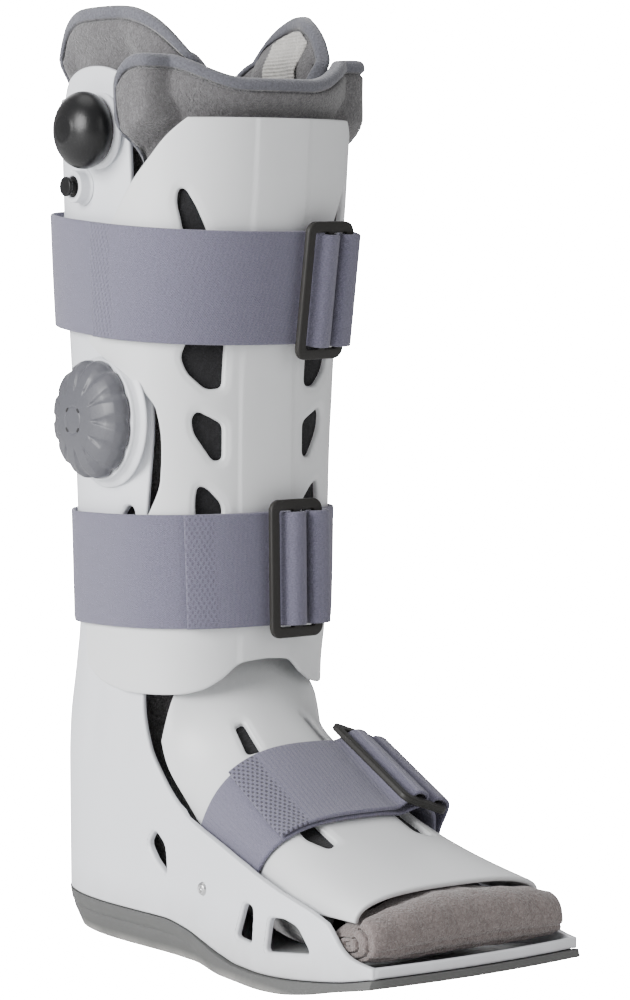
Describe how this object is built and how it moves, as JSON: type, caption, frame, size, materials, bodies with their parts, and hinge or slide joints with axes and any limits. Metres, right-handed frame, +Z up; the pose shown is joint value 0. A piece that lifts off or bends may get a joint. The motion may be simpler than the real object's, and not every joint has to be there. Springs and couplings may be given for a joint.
{
  "type": "walking boot",
  "caption": "Tall orthopaedic walking boot with hard shell, plush liner, rocker sole, buckled straps, squeeze bulb and selector dial.",
  "frame": {"origin": "on the ground under the sole, on the boot's centre plane, below the axis of the leg", "axes": "+Z up, toes towards -Y, heel towards +Y, the side with the bulb and the dial towards -X"},
  "size_m": [0.1421, 0.2731, 0.4123],
  "materials": {
    "sole": "matt grey moulded rubber",
    "shell": "satin cool white moulded plastic",
    "panel": "satin white moulded plastic",
    "plush": "short grey loop plush",
    "black_pad": "matt black foam-backed cloth",
    "hook_patch": "light ribbed hook tape",
    "webbing": "purple-grey brushed loop webbing",
    "buckle": "charcoal moulded plastic",
    "rivet": "plain steel rivet",
    "bulb": "satin black rubber",
    "dial": "satin mid-grey plastic"
  },
  "bodies": {
    "boot": {"outsole": "sole", "rear_shell": "shell", "shin_panel": "panel", "instep_panel": "panel", "liner": "plush", "front_flap": "plush", "toe_roll": "plush", "shin_pad": "black_pad", "instep_pad": "black_pad", "hook_patch": "hook_patch", "upper_strap": "webbing", "upper_tab": "webbing", "lower_strap": "webbing", "lower_tab": "webbing", "foot_strap": "webbing", "foot_tab": "webbing", "upper_buckle": "buckle", "lower_buckle": "buckle", "foot_buckle": "buckle", "upper_strap_rivet": "rivet", "upper_tab_rivet": "rivet", "lower_strap_rivet": "rivet", "lower_tab_rivet": "rivet", "near_side_rivet": "rivet", "far_side_rivet": "rivet", "bulb_flange": "shell", "pump_bulb": "bulb", "release_valve": "shell"},
    "selector": {"dial": "dial"},
    "button": {"release_button": "bulb"}
  },
  "joints": [
    {"name": "dial_turn", "type": "hinge", "parent": "boot", "child": "selector", "pos_m": [-0.057, 0, 0.232], "axis": [-1, 0, 0], "continuous": true},
    {"name": "button_press", "type": "slide", "parent": "boot", "child": "button", "axis": [1, 0, 0], "range_m": [0, 0.002], "stiffness_N_per_m": 900, "springref_m": -0.0005}
  ]
}
